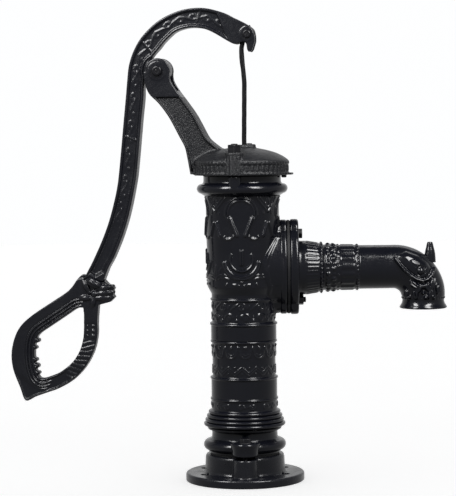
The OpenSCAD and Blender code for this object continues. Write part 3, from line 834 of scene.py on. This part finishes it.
def lever_loop(x, y, z):
    X, Z = plane(x, z)
    d_out = d_loops(grip_loops[:1], X, Z)
    d_in = -d_loops(grip_loops[1:2], X, Z)  # negative in the metal
    s, v = along(loop_right, X, Z)
    for tz, rise in ((190, 3.6), (180, 3.2), (163, 3.4), (154.4, 4.2), (144.6, 3.2)):
        tx = np.interp(tz, [137, 142, 160, 180, 197], [-286.4, -293, -297, -297.1, -291.6])
        d_in = blend(d_in, np.hypot((X - tx) * 0.9, (Z - tz) * 1.1) - rise, 1.0)
    d = np.maximum(d_out, d_in)
    left = np.clip((-(X + 228) + 0.42 * (Z - 236)) / 6, 0, 1) * np.clip((Z - 124 + 0.6 * (X + 300)) / 8, 0, 1)
    di = -d_in
    half = LOOP_T - 2.2 + 0 * X
    ridge = over(1.9 * hump((di - 2.2) / 2.0), 2.2 * hump((di - 7.0) / 1.8), 2.2 * hump((di - 11.4) / 1.8),
                 1.4 * np.clip((di - 13.0) / 1.6, 0, 1))
    side = over(1.9 * hump((-d_out - 1.9) / 1.7), 1.8 * hump((di - 1.9) / 1.7)) * np.clip((s - 96) / 6, 0, 1)
    for at in (28, 35, 42):
        side = over(side, dot(s, v, (at, 3.8), 2.8, 1.6), dot(s, v, (at, -3.8), 2.0, 0.8))
    rope = 0.9 * hump(cell(s + 0.55 * v, 7.4) / 3.4)
    side = over(side, rope * np.clip((s - 47) / 3, 0, 1) * np.clip((112 - s) / 4, 0, 1),
                np.clip((26 - s) / 3, 0, 1))
    half = half + np.where(di < 40, ridge * left + side * (1 - left), 0)
    half = np.minimum(half, LOOP_T)[:, None, :]
    r = rounded(d[:, None, :], np.abs(y) - half, 1.5)
    tilt = (math.sin(math.radians(26)), 0, math.cos(math.radians(26)))
    r = blend(r, disc(x, y, z, KNOT, tilt, 13.4, 5.4, 2.0), 2.0)
    r = np.minimum(r, disc(x, y, z, KNOT, tilt, 15.2, 2.2, 1.6))
    for s2 in (-1, 1):  # leaves wrapped over the knot
        for p, q, ra in (((-206, 0, 262), (-184.6, 0, 266), 4.6), ((-208, 0, 256), (-184.2, 0, 258), 4.6),
                         ((-210, 0, 250), (-187, 0, 250.4), 4.4), ((-216, 0, 258), (-226, 0, 276), 4.6),
                         ((-214, 0, 250), (-232, 0, 250), 4.4), ((-209, 0, 252), (-213.6, 0, 236), 4.6)):
            p, q = (p[0], s2 * 7.0, p[2]), (q[0], s2 * 4.6, q[2])
            e, t = seg(x, y, z, p, q)
            r = blend(r, e - ra * (0.45 + 0.55 * np.sin(pi * np.clip(t, 0.06, 0.94))), 0.9)
        e = seg(x, y, z, (-209, s2 * 7.2, 256), (-208.9, s2 * 7.3, 256))[0]
        r = np.minimum(r, e - 4.6)
    return r


build("lever_bar", [volume(lever_bar, (-226, -9.4, 272), (22, 9.4, 649), 0.84)], GRAINY, "lever_arm", ["lever"],
      smooth=180, head=True)
build("lever_grip", [volume(lever_loop, (-330, -16, 106), (-178, 16, 288), 0.8)], GRAINY, "lever_arm", ["lever"],
      smooth=180, head=True)


# ---- cover and bracket
cover_profile = np.array([(0, 412), (42.6, 412), (42.6, 418), (53.5, 418), (53.8, 419.4), (63.6, 419.4),
                          (64.3, 420.2), (64.3, 422.6), (63.4, 423.6), (63.0, 424), (63.0, 433.2), (63.4, 433.6),
                          (64.3, 434.6), (64.3, 438.2), (62.6, 440.2), (60.3, 442), (56.6, 444.5), (52.4, 446.8),
                          (47.6, 449), (42.7, 450.8), (34.4, 453.2), (26, 455), (19, 456.2), (12, 457), (0, 457.4)])
cave = np.array([(0, 411), (37, 411), (37, 437), (14, 449), (0, 449)], float)
arm_left = [(-133.4, 562), (-132, 548), (-126.3, 532), (-112.2, 517.6), (-98.2, 498.4), (-84.1, 472),
            (-77.1, 458.6), (-74, 446), (-69.5, 420.8)]
arm_right = [(-27.5, 455), (-38, 462.8), (-46.6, 471), (-55.4, 487.4), (-64.8, 504.2), (-76.8, 521), (-88.6, 537),
             (-96, 550), (-97, 562)]


def curve(p, n):
    """Smooth curve through the points."""
    p = [np.array(q, float) for q in p]
    out = []
    for i in range(len(p) - 1):
        a, b, c, d = p[max(i - 1, 0)], p[i], p[i + 1], p[min(i + 2, len(p) - 1)]
        for k in range(n):
            t = k / n
            out.append(0.5 * (2 * b + (c - a) * t + (2 * a - 5 * b + 4 * c - d) * t * t
                              + (3 * b - a - 3 * c + d) * t ** 3))
    return out + [p[-1]]


arm_loop = np.array(curve(arm_left, 4) + [np.array((-60, 420.8)), np.array((-22, 440))] + curve(arm_right, 4))
web_y = 11.5
stud_r = 54.0


def cover_solid(x, y, z):
    X, Z = plane(x, z)
    R = np.hypot(x, y)
    A = np.arctan2(y, x)
    d = spread(lambda r, zz: np.maximum(d_loops([cover_profile], r, zz), -d_loops([cave], r, zz)), R, z)
    rim = np.exp(-((z - 428.6) / 4.6) ** 6)
    ribs = hump(cell(A, 2 * pi / 54) * 64 / 2.1)
    d = d - 1.25 * ribs * rim * (R > 58)
    for zc in (421.4, 436):
        rope = hump(cell(A, 2 * pi / 62) * 64 / 2.6)
        d = d - (rope - 0.5) * np.exp(-((z - zc) / 1.5) ** 2) * (R > 58)
    for s in (-1, 1):
        yc = s * stud_r
        rr = np.hypot(x, y - yc)
        ang = np.arctan2(y - yc, x)
        flare = 12.4 + 1.6 * np.clip((446 - z) / 26, 0, 1)
        flute = 0.75 * np.cos(ang * 14) * np.clip((446 - z) / 4, 0, 1)
        d = blend(d, rounded(rr - flare - flute, np.abs(z - 434.9) - 15.5, 0.9), 1.6)
    cx = np.clip(x, 4.3, 12.2)
    collar = np.maximum(np.hypot(x - cx, y) - 7.2, np.abs(z - 454.4) - 6.2)
    d = blend(d, collar, 2.4)
    tongue = over(np.abs(x - 64.4) - 5.4, np.abs(y) - 8.8, np.abs(z - 420.8) - 1.4)
    d = blend(d, tongue, 0.8)
    d = np.minimum(d, disc(x, y, z, (58, 0, 418.2), (0, 0, 1), 3.6, 2.7, 1.2))
    # bracket: edge rims, sunk panel, ears
    a2 = np.minimum(d_loops([arm_loop], X, Z), np.hypot(X - fx, Z - fz) - 17.5)
    panel = np.minimum(-a2 - 2.6, 527 - Z)
    half = np.maximum(15 - 3.5 * np.clip(panel / 1.2, 0, 1), web_y)
    boss = np.hypot(X - fx, Z - fz)
    half = half - 0.5 + 0.5 * np.clip((13.6 - boss) / 0.9, 0, 1)
    arm = rounded(a2[:, None, :], np.abs(y) - half[:, None, :], 1.5)
    fork = np.maximum(np.abs(y) - 9.6, 535.3 - z)
    arm = over(arm, -fork, PIN_HOLE - np.hypot(x - fx, z - fz))
    hollow = spread(lambda r, zz: d_loops([cave], r, zz), R, z)
    d = np.maximum(blend(d, arm, 4.0), -hollow)
    d = np.maximum(d, -np.maximum(np.hypot(x - np.clip(x, 4, 12.5), y) - 4, 430 - z))
    return np.maximum(d, STUD_HOLE - np.hypot(x, np.abs(y) - stud_r))


lid = build("cover_casting", [volume(cover_solid, (-135, -69, 411.5), (71, 69, 583), 0.9)], SATIN, "stand",
            ["cover"], smooth=180, head=True)
lid.data.materials.append(GRAINY)
EAR_Z = 0.5268  # the bracket's ears are glossier above this (m)
mid = np.zeros(len(lid.data.polygons) * 3)
lid.data.polygons.foreach_get("center", mid)
lid.data.polygons.foreach_set("material_index", (mid.reshape(-1, 3)[:, 2] > EAR_Z).astype(np.int32))


# ---- foot
foot_profile = np.array([(0, 0), (80.7, 0), (81.5, 0.9), (81.5, 9.1), (80.7, 10.7), (79.1, 11.5), (58.7, 11.5),
                         (56.9, 12.1), (55.9, 13.5), (55.2, 15.5), (54.7, 22), (54.2, 33), (53.5, 35.4),
                         (52.3, 36.7), (51.1, 37), (0, 37)], float)
foot_cave = np.array([(0, -2), (19.5, -2), (19.5, 24), (16, 27), (16, 40), (0, 40)], float)
BOLT_Y = 62.0
GROUND_X, GROUND_Y = 55, 27  # places of the four ground bolt holes


def foot_solid(x, y, z):
    R = np.hypot(x, y)
    d = spread(lambda r, zz: d_loops([foot_profile], r, zz), R, z)
    for s in (-1, 1):
        wall, top = np.hypot(x, y - s * 56) - 17 + 0.06 * (z - 10), np.abs(z - 18) - 17.4
        lug_d = np.hypot(np.maximum(wall + 1, 0), np.maximum(top, 0)) + np.minimum(np.maximum(wall, top), 0) - 1
        d = blend(d, lug_d, 2.6)
    d = np.maximum(d, -z)
    d = np.maximum(d, -spread(lambda r, zz: d_loops([foot_cave], r, zz), R, z))
    d = np.maximum(d, 5.5 - np.hypot(np.abs(x) - GROUND_X, np.abs(y) - GROUND_Y))
    return np.maximum(d, -np.maximum(np.hypot(x, np.abs(y) - BOLT_Y) - 4.2, 14 - z))


build("foot_casting", [volume(foot_solid, (-82, -82, -0.6), (82, 82, 37.4), 0.92)], GRAINY, "stand",
      ["base_flange"], smooth=180)


# ---- fasteners
def moved(part, at, axis="z"):
    """Part drawn along +Z placed at a point with its axis along x, y (towards the front) or z."""
    p, q = part
    p = np.asarray(p, float)
    if axis == "x":
        p = np.stack([p[:, 2], p[:, 0], p[:, 1]], -1)
    elif axis == "-y":
        p = np.stack([p[:, 0], -p[:, 2], p[:, 1]], -1)
    elif axis == "y":
        p = np.stack([p[:, 0], p[:, 2], -p[:, 1]], -1)
    return p + np.array(at, float), q


def hexagon(flats, z0, z1, hole=0.0, turn=0.0, both=False, vox=0.3):
    """Hexagon bar between z0 and z1, chamfered at the top or at both ends."""
    def f(x, y, z):
        R = np.hypot(x, y)
        sides = [turn + k * pi / 3 for k in range(3)]
        cuts = [np.abs(x * math.cos(a) + y * math.sin(a)) - flats / 2 for a in sides]
        cuts += [np.abs(z - (z0 + z1) / 2) - (z1 - z0) / 2, (R - flats * 0.5) * 0.5 + (z - z1) * 0.87]
        if both:
            cuts.append((R - flats * 0.5) * 0.5 + (z0 - z) * 0.87)
        if hole:
            cuts.append(hole - R)
        return over(*cuts)

    r = flats * 0.58 + 0.2
    return volume(f, (-r, -r, z0), (r, r, z1), vox)


def washer(r, hole, z0, z1, edge=0.3, n=56):
    return revolve([(hole, z0 + 0.1), (r - edge, z0), (r, z0 + edge), (r, z1 - edge), (r - edge, z1),
                    (hole, z1 - 0.1), (hole, z0 + 0.1)], n, step=2)


def screw(r, z0, z1, pitch=1.5, plain=0.0, n=32):
    """Threaded shank from z0 to z1; the first `plain` mm are smooth; domed end."""
    z = np.concatenate([[z0], np.arange(z0, z1 - 0.6, pitch / 6), [z1 - 0.6, z1 - 0.2, z1]])
    th = circle(n)
    ph = (z[:, None] / pitch - th[None, :] / (2 * pi)) % 1
    cut = np.abs(ph - 0.5) * 2
    R = r - 0.54 * pitch * 0.8 * (1 - cut) * (z[:, None] > z0 + plain)
    R = np.minimum(R, r) * np.where(z[:, None] > z1 - 0.3, 0.8, 1)
    R[0] = 0.01
    R[-1] = 0.01
    R[-2] = 0.72 * r
    p = np.stack([R * np.cos(th), R * np.sin(th), z[:, None] + 0 * th], -1)
    return p.reshape(-1, 3), grid_faces(len(z), n)


def pin_shape(profile):
    return revolve(profile, 56, step=0.9)


def small(node, parts, mat, body, head=False, smooth=38):
    build(node + "_fine", parts, mat, body, [node], smooth=smooth, head=head)


small("foot_bolts", [moved(q, (0, s * BOLT_Y, 0)) for s in (-1, 1) for q in
                     (washer(7.6, 3.9, 59, 60.4), hexagon(13, 60.4, 65.8, turn=0.3 * s), screw(3.98, 15.6, 60.6))],
      DARK, "stand")
small("spout_bolt", [moved(hexagon(13, 0, 5.4, turn=0.5), (SX0 + 12, 0, bolt_zs[1]), "x"),
                     moved(screw(3.98, -24, 0.2), (SX0 + 12, 0, bolt_zs[1]), "x")], DARK, "stand")
small("spout_nut", [moved(hexagon(13, 0, 6.5, 3.9, 0.2, True), (SX0 + 12, 0, bolt_zs[0]), "x")], DARK, "stand")
small("spout_stud", [moved(screw(3.98, -24, 10), (SX0 + 12, 0, bolt_zs[0]), "x")], DARK, "stand")
cn_lo, cn_hi = mm_box("cover_nuts")
cs_lo, cs_hi = mm_box("cover_studs")
small("cover_nuts", [moved(hexagon(17, cn_lo[2], cn_hi[2], 4.9, 0.12, True), (0, s * stud_r, 0)) for s in (-1, 1)],
      DARK, "stand", head=True)
small("cover_studs", [moved(screw(4.98, cs_lo[2], cs_hi[2], 1.5, 20), (0, s * stud_r, 0)) for s in (-1, 1)],
      DARK, "stand", head=True)
fulcrum_shape = [(0.01, 4.1), (1.2, 4.1), (1.7, 3.4), (2.3, 3.3), (2.9, 4.0), (4.4, 4.1), (5.6, 3.9), (6.5, 3.3),
                 (7, 2.3), (7, 0.3), (6.7, 0), (4.98, 0), (4.98, -0.4), (4.98, -38.4), (4.4, -39.1), (0.01, -39.1)]
small("fulcrum_pin", [moved(pin_shape(fulcrum_shape), (fx, -15.1, fz), "-y")], DARK, body_of("fulcrum_pin"),
      head=True)
small("fulcrum_washer", [moved(washer(9.5, PIN_HOLE, 15.1, 17.4), (fx, 0, fz), "y")], DARK,
      body_of("fulcrum_washer"), head=True)
rod_pin_shape = [(0.01, 2.9), (1.0, 2.9), (1.5, 2.3), (2.0, 2.3), (2.5, 2.8), (3.8, 2.9), (5.0, 2.5), (5.8, 1.5),
                 (5.8, 0.3), (5.5, 0), (3.98, 0), (3.98, -24.5), (3.5, -25.1), (0.01, -25.1)]
small("rod_pin", [moved(pin_shape(rod_pin_shape), (ex, -9.1, ez), "-y")], DARK, body_of("rod_pin"), head=True)
small("rod_washer", [moved(washer(7.5, ROD_PIN_HOLE, 9.1, 10.7), (ex, 0, ez), "y")], DARK, body_of("rod_washer"),
      head=True)

rod_path = [(3.8, 604), (2.4, 598.6), (1.3, 593.4), (1.0, 588.6), (1.35, 580), (2.5, 568), (4.1, 553), (4.55, 546),
            (4.5, 536), (3.6, 480), (1.3, 240)]
rod_curve = resample(rod_path, 1.6)
ROD_SIDES = 40


def rod_mesh():
    q = rod_curve
    for _ in range(6):
        q[1:-1] = 0.25 * q[:-2] + 0.5 * q[1:-1] + 0.25 * q[2:]
    d = np.gradient(q, axis=0)
    d /= np.linalg.norm(d, axis=1)[:, None]
    th = circle(ROD_SIDES)
    zt = q[:, 1:2]
    flat = 0.22 * np.clip((zt - 556) / 12, 0, 1) * np.cos(2 * th[None, :] + (zt - 556) * 0.16)  # forged twist
    r = 3.24 - flat + 0.06 * np.sin(zt * 0.31) * np.cos(th)[None, :]
    nx, nz = d[:, 1:2], -d[:, 0:1]
    p = np.stack([q[:, :1] + nx * r * np.cos(th), r * np.sin(th), q[:, 1:2] + nz * r * np.cos(th)], -1)
    cap = np.repeat(p[-1:].mean(1, keepdims=True), ROD_SIDES, 1)
    p = np.concatenate([p, cap])
    return p.reshape(-1, 3), grid_faces(len(p), ROD_SIDES)


def rod_eye_solid(x, y, z):
    d = disc(x, y, z, (ex, 0, ez), (0, 1, 0), 10.3, 3.5, 1.2)
    d = blend(d, seg(x, y, z, (3.8, 0, 604), (1.2, 0, 592.6))[0] - 3.2, 2.0)
    return np.maximum(d, 4.06 - np.hypot(x - ex, z - ez))


small("piston_rod", [rod_mesh(), volume(rod_eye_solid, (-3, -4, 590), (21.5, 4, 622), 0.42)], ROD, "rod", head=True,
      smooth=60)
small("rod_locknut", [moved(hexagon(13, 250, 256.5, 3.5, 0.4, True), (1.47, 0, 0))], STEEL, "rod",
      head=True)


# ---- pieces shown straight from the CAD
for node, mat in (("foot_gasket", RUBBER), ("foot_flap", LEATHER), ("foot_weight", RAW), ("foot_screw", STEEL),
                  ("fulcrum_cotter", DARK), ("rod_cotter", DARK), ("rod_end", STEEL), ("foot_pin", STEEL),
                  ("piston_cage", BRASS), ("piston_screws", STEEL), ("piston_body", BRASS), ("piston_cup", LEATHER),
                  ("piston_valve", BRASS)):
    ob = frame["nodes"][node]
    ob.data.materials.clear()
    ob.data.materials.append(mat)
    ob.data.polygons.foreach_set("use_smooth", np.ones(len(ob.data.polygons), bool))
    ob.data.set_sharp_from_angle(angle=math.radians(30))
    bev = ob.modifiers.new("edges", "BEVEL")
    bev.width = 0.00025
    bev.segments = 2
    bev.limit_method = "ANGLE"
    bev.angle_limit = math.radians(40)

# ---- stage
floor = bpy.data.meshes.new("floor")
floor.from_pydata([(-6, -6, 0), (6, -6, 0), (6, 6, 0), (-6, 6, 0)], [], [(0, 1, 2, 3)])
m, t, p = nodes_of("pale_floor")
t.nodes.new("ShaderNodeTexCoord")
t.links.new(mixed(t, noise(t, 3), (0.80, 0.80, 0.80), (0.84, 0.84, 0.84)), p.inputs["Base Color"])
p.inputs["Roughness"].default_value = 0.9
p.inputs["Emission Color"].default_value = (1, 1, 1, 1)
p.inputs["Emission Strength"].default_value = 0.62
floor.materials.append(m)
floor = bpy.data.objects.new("floor", floor)
bpy.context.scene.collection.objects.link(floor)

world = bpy.data.worlds.new("studio")
world.use_nodes = True
bpy.context.scene.world = world
w = world.node_tree
coord = w.nodes.new("ShaderNodeTexCoord")
split = w.nodes.new("ShaderNodeSeparateXYZ")
w.links.new(coord.outputs["Generated"], split.inputs[0])
up = ramp(w, split.outputs["Z"], 1.0, 0.16, 0.42, 0.72)  # white walls, dark ceiling
w.links.new(up, w.nodes["Background"].inputs["Strength"])
w.nodes["Background"].inputs["Color"].default_value = (0.99, 0.995, 1.0, 1)

shade = bpy.data.collections.new("not_lit_by_keys")  # the floor keeps an even tone
shade.objects.link(floor)
shade.collection_objects[0].light_linking.link_state = "EXCLUDE"


def area(name, at, look, size, power):
    l = bpy.data.lights.new(name, "AREA")
    l.shape = "RECTANGLE"
    l.size, l.size_y = size
    l.energy = power
    o = bpy.data.objects.new(name, l)
    o.location = at
    o.rotation_mode = "QUATERNION"
    o.rotation_quaternion = (Vector(look) - Vector(at)).to_track_quat("-Z", "Y")
    o.visible_camera = False
    o.light_linking.receiver_collection = shade
    bpy.context.scene.collection.objects.link(o)
    return o


KEY_SIZE, KEY_POWER = (0.66, 1.25), 190
area("key_left", (-1.15, -1.05, 1.65), (0, 0, 0.3), KEY_SIZE, KEY_POWER)
area("key_right", (0.92, -1.2, 1.65), (0, 0, 0.3), KEY_SIZE, KEY_POWER)
area("back", (0.7, 1.7, 1.9), (0, 0, 0.35), (1.2, 0.6), 5)
bpy.context.scene.view_settings.view_transform = "Standard"

cam = bpy.data.cameras.new("camera")
cam.sensor_width = 36
eye, aim = Vector((-0.0203, -2.7, 0.474)), Vector((-0.0203, 0, 0.3195))
VIEW_H = 0.67952  # height of the view at the aim (m)
cam.lens = cam.sensor_width * (aim - eye).length / VIEW_H
cam.clip_end = 60
cam_ob = bpy.data.objects.new("camera", cam)
cam_ob.location = eye
cam_ob.rotation_mode = "QUATERNION"
q = (aim - eye).to_track_quat("-Z", "Y")
ROLL = -0.01134  # the photo leans a little
cam_ob.rotation_quaternion = q @ Matrix.Rotation(ROLL, 4, "Z").to_quaternion()
bpy.context.scene.collection.objects.link(cam_ob)
bpy.context.scene.camera = cam_ob
